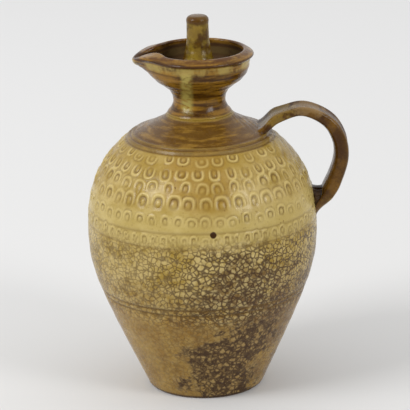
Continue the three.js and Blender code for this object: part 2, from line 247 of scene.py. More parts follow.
def pot_profile(curve):
    """The pot's wall, from the middle of the foot up the outside and down the inside to the floor."""
    fine = [p for p in spaced(curve, STAMP_STEP) if STAMP_ZONE[0] <= p[1] <= STAMP_ZONE[1]]
    below = [p for p in spaced(curve, POT_STEP) if p[1] < STAMP_ZONE[0] - POT_STEP / 2]
    above = [p for p in spaced(curve, STAMP_STEP * 1.3) if p[1] > STAMP_ZONE[1] + STAMP_STEP / 2]
    lines = [(r, z) for r, z in spaced(curve, STAMP_STEP)
             if any(abs(z - height) < 2.5 * MM for height in LINE_HEIGHTS)]
    below = [p for p in below if not LINE_ZONE[0] < p[1] < LINE_ZONE[1]]
    below = sorted(below + lines, key=lambda p: p[1])
    inside = [p for p in spaced(inwards(spaced(curve, 2 * MM), WALL), INSIDE_STEP)
              if FLOOR_THICKNESS + 2 * MM < p[1] < SEAT_HEIGHT - WALL and p[0] > THROAT_RADIUS + 2 * MM]
    inside.reverse()
    outline = [(0, 0), (FOOT_RADIUS - 2 * FOOT_CHAMFER, 0), (FOOT_RADIUS - FOOT_CHAMFER, 0.1 * MM)]
    outline += [(FOOT_RADIUS - 0.4 * FOOT_CHAMFER, 0.45 * FOOT_CHAMFER)]
    outline += below + fine + above
    outline += [(THROAT_RADIUS, SEAT_HEIGHT), (THROAT_RADIUS, SEAT_HEIGHT - WALL)]
    return outline + inside + [(inside[-1][0] - WALL, FLOOR_THICKNESS), (0, FLOOR_THICKNESS)]


def turn_lines(relief, dark, light, angle, height, arc, ring_arc):
    """Adds the turned lines, the beads of the ring and the throwing ridges to the wall's relief."""
    wander = 0.25 * MM * np.sin(3 * angle + height / (5 * MM))
    for line_height in LINE_HEIGHTS:
        groove = bump_at(height, line_height + wander, 0.9 * MM)
        relief = relief - 0.75 * MM * groove
        dark = np.maximum(dark, 0.9 * groove)
    for line_height in STAMP_LINE_HEIGHTS:
        groove = bump_at(height, line_height + 2 * wander, 1.0 * MM)
        relief = relief - 0.35 * MM * groove
        dark = np.maximum(dark, 0.45 * groove)
    for offset, rise in RING_TURNING:
        shape = bump_at(arc, ring_arc + offset, 0.95 * MM)
        relief = relief + rise * MM * shape
        if rise < 0:
            dark = np.maximum(dark, -rise * shape)
        else:
            light = np.maximum(light, 0.8 * shape)
    throwing = 0.12 * MM * np.sin(arc / (3.1 * MM)) * smoothstep(height, 20 * MM, 60 * MM)
    stamped = smoothstep(height, 130 * MM, 140 * MM) * (1 - smoothstep(height, 214 * MM, 220 * MM))
    return relief + throwing * (1 - stamped), dark, light


def make_pot():
    curve = pot_outline()
    pot = turned("thrown_pot", pot_profile(curve), POT_STEPS)
    points = points_of(pot)
    radius = np.hypot(points[:, 0], points[:, 1])
    angle = np.arctan2(points[:, 1], points[:, 0])
    height = points[:, 2]
    wall = np.array(spaced(curve, 0.5 * MM))
    wall_arc = np.concatenate([[0], np.cumsum(np.hypot(*np.diff(wall, axis=0).T))])
    outer = radius > np.interp(height, wall[:, 1], wall[:, 0]) - 0.45 * WALL

    def arc_at(wall_height):
        return np.interp(wall_height, wall[:, 1], wall_arc)

    arc = arc_at(height)
    relief, dark, light = stamp_relief(angle, arc, radius, arc_at)
    wipe_reach = 1 - smoothstep(np.abs(angle), 0.55 * WIPE_HALF_ANGLE, WIPE_HALF_ANGLE)
    wipe = wipe_reach * smoothstep(height, 188 * MM, 200 * MM)
    comb = np.sin(26 * np.abs(angle) + 0.6 * arc / MM) * np.sin(9 * angle + 2)
    relief = relief * (1 - 0.8 * wipe) + 0.2 * MM * wipe * comb
    dark = np.maximum(dark * (1 - 0.7 * wipe), 0.45 * wipe * np.clip(-comb, 0, 1))
    light = light * (1 - 0.7 * wipe)
    relief, dark, light = turn_lines(relief, dark, light, angle, height, arc, arc_at(RING_HEIGHT))

    keep = outer & (height > FOOT_CHAMFER * 1.5) & (height < SEAT_HEIGHT - 0.6 * MM)
    slope = np.gradient(wall, axis=0)
    slope /= np.linalg.norm(slope, axis=1)[:, None]
    out_radius = np.interp(height, wall[:, 1], slope[:, 1])
    out_height = np.interp(height, wall[:, 1], -slope[:, 0])
    relief = np.where(keep, relief, 0)
    grown = (radius + relief * out_radius) / np.maximum(radius, MM)
    points[:, 0] *= grown
    points[:, 1] *= grown
    points[:, 2] += relief * out_height
    move_points(pot, points)
    mark(pot, "pressed", np.where(keep, dark, 0))
    mark(pot, "raised", np.where(keep, light, 0))
    return pot


# Thrown neck and pouring mouth, with the lip drawn out of the collar

NECK_STEPS = 224


def draw_lip(piece, wall_middle):
    """Pulls the collar out and down at -X and pinches it in on both sides.

    The inside follows more narrowly than the outside, which leaves a slim channel between thick edges.
    """
    points = points_of(piece)
    radius = np.hypot(points[:, 0], points[:, 1])
    away = np.degrees(np.abs(np.arctan2(points[:, 1], -points[:, 0])))
    lift = smoothstep(points[:, 2], 264 * MM, 284 * MM)
    inside = 1 - smoothstep(radius - wall_middle(points[:, 2]), -1.8 * MM, 1.8 * MM)
    low = 1 - smoothstep(points[:, 2], 281.5 * MM, 285 * MM)
    outer_pull = (9.6 - 2.6 * low) * bump_at(away, 0, 21) - 1.4 * bump_at(away, 47, 14)
    inner_pull = 11.0 * bump_at(away, 0, 11) - 2.4 * bump_at(away, 30, 15)
    pull = outer_pull + (inner_pull - outer_pull) * inside
    drawn = (radius + pull * MM * lift) / radius
    outer_drop = (3.6 + 2.8 * low) * bump_at(away, 0, 15) - 1.1 * bump_at(away, 28, 12)
    inner_drop = 5.4 * bump_at(away, 0, 10) - 1.0 * bump_at(away, 28, 13)
    drop = outer_drop + (inner_drop - outer_drop) * inside
    points[:, 0] *= drawn
    points[:, 1] *= drawn
    points[:, 2] -= drop * MM * lift * lift
    move_points(piece, points)
    mark(piece, "inside", inside * (1 - smoothstep(points[:, 2], 283 * MM, 285.5 * MM)))


def make_neck_and_mouth():
    neck = bezier((NECK_FOOT_RADIUS, SEAT_HEIGHT), (25.6 * MM, 238 * MM),
                  (NECK_RADIUS, 239.7 * MM), (NECK_RADIUS, NECK_HEIGHT), steps=14)
    bowl = bezier((NECK_RADIUS, NECK_HEIGHT), (22.5 * MM, 262 * MM),
                  (40.6 * MM, 258 * MM), (BOWL_RADIUS, BOWL_HEIGHT), steps=36)
    collar = bezier((BOWL_RADIUS, BOWL_HEIGHT), (BOWL_RADIUS + 0.3 * MM, 280 * MM),
                    (BOWL_RADIUS + 0.6 * MM, 281.2 * MM), (COLLAR_RADIUS - 0.5 * MM, 282.0 * MM), steps=8)
    top = bezier((COLLAR_RADIUS - 0.5 * MM, 282.0 * MM), (COLLAR_RADIUS + 0.9 * MM, 282.8 * MM),
                 (COLLAR_RADIUS + 0.2 * MM, 284.0 * MM), (COLLAR_RADIUS - MM, 284.9 * MM), steps=9)
    slope = bezier((COLLAR_RADIUS - MM, 284.9 * MM), (COLLAR_RADIUS - 3 * MM, 286.6 * MM),
                   (41 * MM, RIM_HEIGHT - 0.5 * MM), (39 * MM, RIM_HEIGHT), steps=8)
    edge = bezier((39 * MM, RIM_HEIGHT), (37.6 * MM, RIM_HEIGHT + 0.1 * MM),
                  (RIM_INNER_RADIUS, RIM_HEIGHT - 0.6 * MM),
                  (RIM_INNER_RADIUS, RIM_HEIGHT - 2 * MM), steps=6)
    inside = bezier((BOWL_RADIUS - BOWL_WALL, BOWL_HEIGHT), (36.6 * MM, 268.7 * MM),
                    (31.5 * MM, 264 * MM), (LEDGE_RADIUS, LEDGE_HEIGHT), steps=20)
    outline = neck + bowl[1:] + collar[1:] + top[1:] + slope[1:] + edge[1:]
    outline += [(RIM_INNER_RADIUS + 0.1 * MM, 283 * MM)] + inside
    outline += [(THROAT_RADIUS + 0.8 * MM, LEDGE_HEIGHT), (THROAT_RADIUS, LEDGE_HEIGHT - 0.8 * MM),
                (THROAT_RADIUS, NECK_HEIGHT), (THROAT_RADIUS, SEAT_HEIGHT)]
    piece = turned("thrown_neck_and_mouth", outline, NECK_STEPS, ring=True)
    points = points_of(piece)
    radius = np.hypot(points[:, 0], points[:, 1])
    above_seat = smoothstep(points[:, 2], SEAT_HEIGHT, SEAT_HEIGHT + 4 * MM)
    outside = smoothstep(radius, 20 * MM, 24 * MM) * above_seat
    turning = 0.16 * MM * np.sin(points[:, 2] / (0.85 * MM)) * outside
    points[:, :2] *= ((radius + turning) / radius)[:, None]
    move_points(piece, points)
    outer = np.array(neck + bowl[1:] + collar[1:])
    draw_lip(piece, lambda height: np.interp(height, outer[:, 1], outer[:, 0]) - 2.6 * MM)
    return piece


# Lid with its spigot, disc and waisted knob

LID_STEPS = 112


def make_lid():
    under = LEDGE_HEIGHT + LID_GAP
    disc_top = under + LID_THICKNESS
    disc_radius = LEDGE_RADIUS - LID_SIDE_CLEARANCE
    spigot_radius = THROAT_RADIUS - SPIGOT_CLEARANCE
    spigot_end = under - SPIGOT_LENGTH
    spigot = [(0, spigot_end), (spigot_radius - MM, spigot_end),
              (spigot_radius, spigot_end + MM), (spigot_radius, under)]
    disc = [(disc_radius - 0.8 * MM, under), (disc_radius, under + 0.8 * MM),
            (disc_radius, disc_top - 0.9 * MM)]
    side = bezier((disc_radius - MM, disc_top), (14.5 * MM, 271 * MM),
                  (KNOB_RADIUS + 0.3 * MM, 286 * MM), (KNOB_RADIUS, 300 * MM), steps=30)
    shoulder = bezier((KNOB_RADIUS - 0.1 * MM, 306.8 * MM), (KNOB_RADIUS + 0.3 * MM, 312 * MM),
                      (KNOB_RADIUS + 0.4 * MM, 315.4 * MM),
                      (KNOB_RADIUS - 3 * MM, LID_TOP - 0.3 * MM), steps=12)
    lid = turned("thrown_lid", spigot + disc + side + shoulder[1:] + [(0, LID_TOP)], LID_STEPS)
    points = points_of(lid)
    radius = np.hypot(points[:, 0], points[:, 1])
    above_disc = smoothstep(points[:, 2], disc_top, disc_top + 5 * MM)
    turning = 0.14 * MM * np.sin(points[:, 2] / (1.1 * MM)) * above_disc
    turned_radius = radius + np.where(radius > 5 * MM, turning, 0)
    points[:, :2] *= (turned_radius / np.maximum(radius, MM))[:, None]
    move_points(lid, points)
    return lid


# Pulled strap handle with the clay that beds it

STRAP_POINTS = (
    (RING_RADIUS - 15.5 * MM, RING_HEIGHT + 2.5 * MM),
    (RING_RADIUS - 6.5 * MM, RING_HEIGHT + 9.3 * MM),
    (RING_RADIUS + 6.5 * MM, HANDLE_TOP - 4.3 * MM),
    (HANDLE_BACK - 34 * MM, HANDLE_TOP),
    (HANDLE_BACK - 19.6 * MM, HANDLE_TOP - 3.9 * MM),
    (HANDLE_BACK - 8.1 * MM, HANDLE_TOP - 12.4 * MM),
    (HANDLE_BACK - 1.6 * MM, HANDLE_TOP - 24.7 * MM),
    (HANDLE_BACK, HANDLE_TOP - 36.2 * MM),
    (HANDLE_BACK - 1.9 * MM, HANDLE_FOOT_HEIGHT + 39 * MM),
    (HANDLE_BACK - 6.4 * MM, HANDLE_FOOT_HEIGHT + 26 * MM),
    (BELLY_RADIUS + 10 * MM, HANDLE_FOOT_HEIGHT + 17 * MM),
    (BELLY_RADIUS + 5.3 * MM, HANDLE_FOOT_HEIGHT + 8 * MM),
    (BELLY_RADIUS + 1.9 * MM, HANDLE_FOOT_HEIGHT - 0.5 * MM),
    (BELLY_RADIUS - 0.5 * MM, HANDLE_FOOT_HEIGHT - 9 * MM),
)
STRAP_STATIONS = 96
STRAP_SIDES = 48


def through_points(points, count):
    """Even stations on a smooth line through the points, with its direction at each."""
    knots = np.array(points)
    ends = np.vstack([2 * knots[0] - knots[1], knots, 2 * knots[-1] - knots[-2]])
    line = []
    for i in range(1, len(ends) - 2):
        a, b, c, d = ends[i - 1:i + 3]
        for t in np.linspace(0, 1, 24, endpoint=False):
            line.append(0.5 * (2 * b + (c - a) * t + (2 * a - 5 * b + 4 * c - d) * t ** 2
                               + (3 * b - a - 3 * c + d) * t ** 3))
    line = np.array(line + [knots[-1]])
    along = np.concatenate([[0], np.cumsum(np.hypot(*np.diff(line, axis=0).T))])
    stations = np.linspace(0, along[-1], count)
    even = np.stack([np.interp(stations, along, line[:, k]) for k in (0, 1)], axis=1)
    direction = np.gradient(even, axis=0)
    return even, direction / np.linalg.norm(direction, axis=1)[:, None]


def settle_ends(points, shares):
    """Smears both ends of the strap into the pot: the root on to the shoulder, the foot on to the belly."""
    wall = np.array(spaced(pot_outline(), 0.5 * MM))
    shoulder = wall[wall[:, 1] > 200 * MM][::-1]
    radius = np.hypot(points[:, 0], points[:, 1])
    resting = np.interp(radius, shoulder[:, 0], shoulder[:, 1]) - 1.3 * MM
    near_root = (1 - smoothstep(shares, 0.0, 0.15)) ** 1.4
    points[:, 2] += near_root * (resting - points[:, 2])
    belly = np.interp(points[:, 2], wall[:, 1], wall[:, 0]) - 1.2 * MM
    tongue = shares + 0.04 * (np.abs(points[:, 1]) / (STRAP_WIDTH / 2)) ** 3
    near_foot = smoothstep(tongue, 0.86, 1.0) ** 1.2
    grown = 1 + near_foot * (belly / np.hypot(points[:, 0], points[:, 1]) - 1)
    points[:, 0] *= grown
    points[:, 1] *= grown
    return points


def make_handle():
    centres, directions = through_points(STRAP_POINTS, STRAP_STATIONS)
    turns = np.linspace(0, 2 * math.pi, STRAP_SIDES, endpoint=False)
    strap = bmesh.new()
    rings = []
    ridge_highlights = []
    for i in range(STRAP_STATIONS):
        share = i / (STRAP_STATIONS - 1)
        top_flare = 15 * MM * (1 - float(smoothstep(share, 0.0, 0.2))) ** 1.3
        end_flare = 3 * MM * float(smoothstep(share, 0.8, 1.0))
        waver = 0.5 * MM * math.sin(9 * share + 1)
        width = STRAP_WIDTH + top_flare + end_flare + waver
        to_back = float(smoothstep(share, 0.25, 0.55))
        to_foot = float(smoothstep(share, 0.78, 1.0))
        thickness = STRAP_ROOT_THICKNESS + (STRAP_BACK_THICKNESS - STRAP_ROOT_THICKNESS) * to_back
        thickness += (STRAP_FOOT_THICKNESS - thickness) * to_foot
        across = np.sign(np.cos(turns)) * np.abs(np.cos(turns)) ** 0.5 * width / 2
        through = np.sign(np.sin(turns)) * np.abs(np.sin(turns)) ** 0.45 * thickness / 2
        middle = np.clip(1 - (np.abs(across) / (width * 0.36)) ** 2, 0, 1)
        through -= np.where(through > 0, CHANNEL_DEPTH * middle, 0.3 * MM * middle)
        back = np.array([-directions[i][1], directions[i][0]])
        ring = []
        for side, depth in zip(across, through):
            x, z = centres[i] + back * depth
            ring.append(strap.verts.new((x, side, z)))
        rings.append([strap.edges.new(pair) for pair in zip(ring, ring[1:] + ring[:1])])
        # Painted highlight along the two ridges beside the channel
        ridge_highlights.append(bump_at(np.abs(across) / width, 0.42, 0.06) * (np.sin(turns) > 0.05))
    for near, far in zip(rings, rings[1:]):
        bmesh.ops.bridge_loops(strap, edges=near + far)
    for end in (rings[0], rings[-1]):
        bmesh.ops.edgeloop_fill(strap, edges=end)
    piece = finished("pulled_handle", strap)
    shares = np.repeat(np.linspace(0, 1, STRAP_STATIONS), STRAP_SIDES)
    points = settle_ends(points_of(piece), shares)
    pull_marks = 0.10 * MM * np.sin(points[:, 1] / (1.3 * MM))
    waves = 0.18 * MM * np.sin(points[:, 2] / (7 * MM) + points[:, 0] / (5 * MM))
    normals = np.empty(len(piece.data.vertices) * 3)
    piece.data.vertices.foreach_get("normal", normals)
    move_points(piece, points + normals.reshape(-1, 3) * (pull_marks + waves)[:, None])
    mark(piece, "ridge_highlight", np.concatenate(ridge_highlights))
    return piece


WAD_LAYERS = 16
WAD_SIDES = 40


def make_wad():
    """Lump of clay pressed into the lower crotch of the handle, between the belly and the strap."""
    centres, _ = through_points(STRAP_POINTS, STRAP_STATIONS)
    low_half = centres[centres[:, 1] < 190 * MM][::-1]
    wall = np.array(spaced(pot_outline(), 0.5 * MM))
    wad = bmesh.new()
    rings = []
    turns = np.linspace(0, 2 * math.pi, WAD_SIDES, endpoint=False)
    for layer in range(WAD_LAYERS):
        share = layer / (WAD_LAYERS - 1)
        height = WAD_FOOT_HEIGHT + WAD_RISE * share
        inner = np.interp(height, wall[:, 1], wall[:, 0]) - 3 * MM
        outer = np.interp(height, low_half[:, 1], low_half[:, 0]) - 2.5 * MM
        middle, half = (inner + outer) / 2, max(0.5 * (outer - inner), 3 * MM)
        shrink = 1 - 0.3 * float(smoothstep(share, 0.8, 1.0))
        ring = []
        for turn in turns:
            out = math.copysign(abs(math.cos(turn)) ** 0.7, math.cos(turn))
            side = math.copysign(abs(math.sin(turn)) ** 0.6, math.sin(turn))
            lump = 0.6 * math.sin(3 * turn + 9 * share) + 0.4 * math.sin(7 * turn - 5 * share)
            climb = 2.6 * MM * out * out * float(smoothstep(share, 0.6, 1.0))
            sideways = (WAD_HALF_WIDTH + 0.5 * MM * lump) * side * shrink
            ring.append(wad.verts.new((middle + half * out, sideways, height + climb)))
        rings.append([wad.edges.new(pair) for pair in zip(ring, ring[1:] + ring[:1])])
    for near, far in zip(rings, rings[1:]):
        bmesh.ops.bridge_loops(wad, edges=near + far)
    bmesh.ops.edgeloop_fill(wad, edges=rings[0])
    top = bmesh.ops.edgeloop_fill(wad, edges=rings[-1])["faces"]
    bmesh.ops.inset_region(wad, faces=top, thickness=1.2 * MM, depth=0.3 * MM)
    bmesh.ops.inset_region(wad, faces=top, thickness=1.6 * MM, depth=-0.3 * MM)
    return finished("pressed_clay", wad)


# Glaze made of shared node groups

def socket(group, name, kind, way, value=None):
    item = group.interface.new_socket(name=name, in_out=way, socket_type=kind)
    if value is not None:
        item.default_value = value


class Nodes:
    """Short calls for placing and joining nodes in one tree."""

    def __init__(self, tree):
        self.tree = tree

    def put(self, kind, **settings):
        node = self.tree.nodes.new(kind)
        for name, value in settings.items():
            setattr(node, name, value)
        return node

    def feed(self, target, value):
        if isinstance(value, bpy.types.NodeSocket):
            self.tree.links.new(value, target)
        else:
            target.default_value = value

    def math(self, operation, a, b):
        node = self.put("ShaderNodeMath", operation=operation)
        self.feed(node.inputs[0], a)
        self.feed(node.inputs[1], b)
        return node.outputs[0]

    def times(self, a, b):
        return self.math("MULTIPLY", a, b)

    def larger(self, a, b):
        return self.math("MAXIMUM", a, b)

    def rest(self, share):
        """What a share leaves of 1."""
        return self.math("SUBTRACT", 1.0, share)

    def ramp(self, value, low, high, out_low=0.0, out_high=1.0):
        node = self.put("ShaderNodeMapRange", interpolation_type="SMOOTHSTEP")
        for name, amount in zip(("Value", "From Min", "From Max", "To Min", "To Max"),
                                (value, low, high, out_low, out_high)):
            self.feed(node.inputs[name], amount)
        return node.outputs["Result"]

    def mix(self, factor, a, b):
        node = self.put("ShaderNodeMix", data_type="RGBA")
        self.feed(node.inputs[0], factor)
        self.feed(node.inputs[6], a)
        self.feed(node.inputs[7], b)
        return node.outputs[2]

    def noise(self, vector, scale, detail=4.0, roughness=0.55):
        node = self.put("ShaderNodeTexNoise")
        self.feed(node.inputs["Vector"], vector)
        self.feed(node.inputs["Scale"], scale)
        node.inputs["Detail"].default_value = detail
        node.inputs["Roughness"].default_value = roughness
        return node.outputs["Fac"]

    def place(self):
        return self.put("ShaderNodeTexCoord").outputs["Object"]

    def attribute(self, name):
        return self.put("ShaderNodeAttribute", attribute_name=name).outputs["Fac"]

    def group(self, group, **values):
        node = self.put("ShaderNodeGroup", node_tree=group)
        for name, value in values.items():
            self.feed(node.inputs[name.replace("_", " ")], value)
        return node.outputs[0]


def new_group(name, inputs, output):
    """A node group with float or vector inputs and one float output."""
    group = bpy.data.node_groups.new(name, "ShaderNodeTree")
    for label, value in inputs.items():
        kind = "NodeSocketVector" if isinstance(value, tuple) else "NodeSocketFloat"
        socket(group, label, kind, "INPUT", value)
    socket(group, output, "NodeSocketFloat", "OUTPUT")
    nodes = Nodes(group)
    return group, nodes, nodes.put("NodeGroupInput").outputs, nodes.put("NodeGroupOutput").inputs[0]


def crazing_group():
    """Fine broken network of cracks in the glaze, with some cells left whole."""
    group, n, given, out = new_group("crazing", {"Cell Size": 0.004, "Width": 0.07, "Seed": 0.0}, "Lines")
    place = n.place()
    scale = n.math("DIVIDE", 1.0, given["Cell Size"])
    wobble = n.put("ShaderNodeTexNoise")
    n.feed(wobble.inputs["Vector"], place)
    n.feed(wobble.inputs["Scale"], n.times(scale, 1.2))
    shift = n.put("ShaderNodeVectorMath", operation="SCALE")
    n.feed(shift.inputs[0], wobble.outputs["Color"])
    n.feed(shift.inputs["Scale"], n.times(given["Cell Size"], 0.45))
    moved = n.put("ShaderNodeVectorMath", operation="ADD")
    n.feed(moved.inputs[0], place)
    n.feed(moved.inputs[1], shift.outputs[0])
    cells = n.put("ShaderNodeTexVoronoi", feature="DISTANCE_TO_EDGE", voronoi_dimensions="4D")
    n.feed(cells.inputs["Vector"], moved.outputs[0])
    n.feed(cells.inputs["Scale"], scale)
    n.feed(cells.inputs["W"], given["Seed"])
    lines = n.rest(n.ramp(cells.outputs["Distance"], 0.0, given["Width"]))
    broken = n.ramp(n.noise(place, n.times(scale, 0.5), 3.0), 0.27, 0.44)
    n.feed(out, n.times(lines, broken))
    return group


def speckle_group():
    """Small iron spots that bled through the glaze."""
    group, n, given, out = new_group("iron speckle", {"Size": 0.0016, "Amount": 0.5}, "Spots")
    scale = n.math("DIVIDE", 1.0, given["Size"])
    level = n.math("SUBTRACT", 0.78, n.times(given["Amount"], 0.2))
    n.feed(out, n.ramp(n.noise(n.place(), scale, 2.0, 0.6), level, n.math("ADD", level, 0.07)))
    return group


def cloud_group():
    """Soft uneven patches, as the flame leaves them."""
    inputs = {"Size": 0.03, "Low": 0.4, "High": 0.6, "Shift": (0, 0, 0), "Squeeze": (1, 1, 1)}
    group, n, given, out = new_group("cloud", inputs, "Cover")
    squeezed = n.put("ShaderNodeVectorMath", operation="MULTIPLY")
    n.feed(squeezed.inputs[0], n.place())
    n.feed(squeezed.inputs[1], given["Squeeze"])
    moved = n.put("ShaderNodeVectorMath", operation="ADD")
    n.feed(moved.inputs[0], squeezed.outputs[0])
    n.feed(moved.inputs[1], given["Shift"])
    scale = n.math("DIVIDE", 1.0, given["Size"])
    n.feed(out, n.ramp(n.noise(moved.outputs[0], scale, 5.0, 0.6), given["Low"], given["High"]))
    return group


def patch_group():
    """One patch round a point, with a ragged edge."""
    group, n, given, out = new_group(
        "patch", {"Centre": (0, 0, 0), "Radius": 0.02, "Ragged": 0.5, "Grain": 0.006}, "Cover")
    place = n.place()
    gap = n.put("ShaderNodeVectorMath", operation="DISTANCE")
    n.feed(gap.inputs[0], place)
    n.feed(gap.inputs[1], given["Centre"])
    share = n.math("DIVIDE", gap.outputs["Value"], given["Radius"])
    grain = n.noise(place, n.math("DIVIDE", 1.0, given["Grain"]), 4.0, 0.6)
    edge = n.times(n.math("SUBTRACT", grain, 0.5), n.times(given["Ragged"], 4.0))
    n.feed(out, n.rest(n.ramp(n.math("ADD", share, edge), 0.75, 1.1)))
    return group


def share_along(n, axis, low, high):
    """0 up to the low place on an axis and 1 past the high one, in metres."""
    split = n.put("ShaderNodeSeparateXYZ")
    n.feed(split.inputs[0], n.place())
    return n.ramp(split.outputs[axis], low, high)


def height_band(n, low_fade, low_full, high_full, high_fade):
    """1 between two heights and 0 beyond, in metres."""
    return n.times(share_along(n, "Z", low_fade, low_full), n.rest(share_along(n, "Z", high_full, high_fade)))


# Colours of the glazes, from the pale ash to the bare clay
PALE = (0.47, 0.35, 0.125, 1)
CREAM = (0.62, 0.49, 0.22, 1)
OLIVE = (0.32, 0.21, 0.034, 1)
OCHRE = (0.26, 0.14, 0.026, 1)
BROWN = (0.12, 0.05, 0.006, 1)
DEEP = (0.042, 0.017, 0.004, 1)
SMOKE = (0.105, 0.05, 0.018, 1)
CRACK = (0.05, 0.022, 0.007, 1)
BARE = (0.23, 0.14, 0.08, 1)
POT_UNDER_RING = (0.30, 0.19, 0.03, 1)
POT_FLASHED = (0.27, 0.145, 0.015, 1)
POT_THICK = (0.52, 0.41, 0.15, 1)
POT_FOOT = (0.34, 0.205, 0.045, 1)
POT_CRAWLED = (0.34, 0.225, 0.085, 1)
POT_HOLLOW = (0.12, 0.06, 0.007, 1)
POT_EDGE = (0.58, 0.45, 0.17, 1)
CAP_DARK = (0.085, 0.034, 0.004, 1)
CAP_LIGHT = (0.22, 0.115, 0.016, 1)
NECK_DARK = (0.055, 0.020, 0.001, 1)
NECK_LIGHT = (0.25, 0.125, 0.012, 1)
NECK_RUN = (0.36, 0.29, 0.07, 1)
COLLAR_LIGHT = (0.38, 0.28, 0.075, 1)
COLLAR_EDGE = (0.05, 0.018, 0.005, 1)
RIM_DARK = (0.085, 0.03, 0.003, 1)
RIM_LIGHT = (0.23, 0.12, 0.018, 1)
SHADED = (0.045, 0.019, 0.003, 1)
HANDLE_DARK = (0.05, 0.018, 0.001, 1)
HANDLE_LIGHT = (0.14, 0.065, 0.007, 1)
HANDLE_PALE = (0.24, 0.15, 0.06, 1)
# Painted highlight on the ridges beside the handle's channel
RIDGE_HIGHLIGHT = (0.30, 0.17, 0.035, 1)
LID_DARK = (0.08, 0.035, 0.002, 1)
LID_LIGHT = (0.22, 0.145, 0.012, 1)
KNOB_TOP = (0.075, 0.028, 0.003, 1)
CLAY_DARK = (0.022, 0.010, 0.003, 1)
CLAY_LIGHT = (0.07, 0.034, 0.010, 1)

# Depth of the dimples and cracks in the glaze
GLAZE_RELIEF = 0.5 * MM

# Smoke on the pot: centre and radius of each patch in metres, and how much it covers
SMOKE_PATCHES = (
    ((0.028, -0.080, 0.112), 0.024, 0.55),
    ((0.052, -0.060, 0.085), 0.022, 0.5),
    ((-0.002, -0.084, 0.098), 0.016, 0.4),
)

# Crawled glaze round the main patch: centre, radius and grain of its edge in metres
CRAWLED_PATCHES = (
    ((0.040, -0.058, 0.060), 0.024, 0.008),
    ((-0.019, -0.052, 0.014), 0.009, 0.005),
    ((0.020, -0.048, 0.006), 0.026, 0.008),
)

# Lighter places on the handle and the knob: centre, radius in metres, colour and cover
HANDLE_PATCHES = (
    ((0.060, 0, 0.240), 0.020, OLIVE, 0.45),
    # Paler colour over the top of the strap
    ((0.090, 0, 0.244), 0.018, HANDLE_PALE, 0.6),
    ((0.104, 0, 0.158), 0.012, OLIVE, 0.5),
)
KNOB_PATCHES = (
    ((-0.004, -0.009, 0.302), 0.007, OLIVE, 0.5),
    ((-0.002, -0.011, 0.285), 0.006, OLIVE, 0.4),
)


def new_glaze(name):
    """An empty glaze: its nodes and its shader."""
    material = bpy.data.materials.new(name)
    material.use_nodes = True
    nodes = Nodes(material.node_tree)
    shader = material.node_tree.nodes["Principled BSDF"]
    shader.inputs["IOR"].default_value = 1.5
    shader.inputs["Specular IOR Level"].default_value = 0.24
    return material, nodes, shader


def finish_glaze(n, shader, colour, roughness, height):
    """Joins colour, roughness and relief to the shader."""
    n.feed(shader.inputs["Base Color"], colour)
    n.feed(shader.inputs["Roughness"], roughness)
    bump = n.put("ShaderNodeBump")
    bump.inputs["Strength"].default_value = 0.6
    bump.inputs["Distance"].default_value = GLAZE_RELIEF
    n.feed(bump.inputs["Height"], height)
    n.feed(shader.inputs["Normal"], bump.outputs["Normal"])


def ash_colour(n, groups):
    """Pale where the ash glaze lies thick, olive where it runs thin, browner towards the ring."""
    cloud, patch = groups["cloud"], groups["patch"]
    colour = n.mix(n.group(cloud, Size=0.030, Low=0.38, High=0.62, Squeeze=(1, 1, 1.6)), PALE, OLIVE)
    mottle = n.group(cloud, Size=0.005, Low=0.48, High=0.68, Shift=(0.7, 0, 0))
    colour = n.mix(n.times(mottle, 0.45), colour, OLIVE)
    under_ring = share_along(n, "Z", 0.185, 0.208)
    colour = n.mix(n.times(under_ring, 0.4), colour, POT_UNDER_RING)
    upper_flash = n.group(patch, Centre=(-0.004, -0.076, 0.196), Radius=0.030, Ragged=0.35, Grain=0.02)
    lower_flash = n.group(patch, Centre=(0.004, -0.084, 0.178), Radius=0.020, Ragged=0.4, Grain=0.016)
    colour = n.mix(n.times(n.larger(upper_flash, lower_flash), 0.5), colour, POT_FLASHED)
    thick = height_band(n, 0.142, 0.152, 0.168, 0.180)
    colour = n.mix(n.times(thick, 0.55), colour, POT_THICK)

    # Ochre foot below the double line, with a warm fade above it
    low = n.rest(share_along(n, "Z", 0.080, 0.094))
    foot_cloud = n.group(cloud, Size=0.014, Low=0.35, High=0.65, Squeeze=(1, 1, 0.4))
    foot_colour = n.mix(foot_cloud, OCHRE, POT_FOOT)
    colour = n.mix(n.times(low, 0.92), colour, foot_colour)
    lower_belly = height_band(n, 0.080, 0.092, 0.093, 0.130)
    warm = n.times(lower_belly, n.group(cloud, Size=0.02, Low=0.25, High=0.55, Shift=(0.3, 0, 0)))
    return n.mix(n.times(warm, 0.5), colour, OCHRE)


def smoked(n, groups, colour):
    """Smoke that the kiln left on the right."""
    smoke = n.group(groups["cloud"], Size=0.026, Low=0.36, High=0.58, Shift=(0, 0.2, 0.1))
    right = share_along(n, "X", -0.02, 0.06)
    smoky = n.times(n.times(smoke, right), height_band(n, 0.0, 0.02, 0.105, 0.140))
    colour = n.mix(n.times(smoky, 0.65), colour, SMOKE)
    for centre, radius, cover in SMOKE_PATCHES:
        spot = n.group(groups["patch"], Centre=centre, Radius=radius, Ragged=0.45, Grain=0.014)
        colour = n.mix(n.times(spot, cover), colour, SMOKE)
    return colour


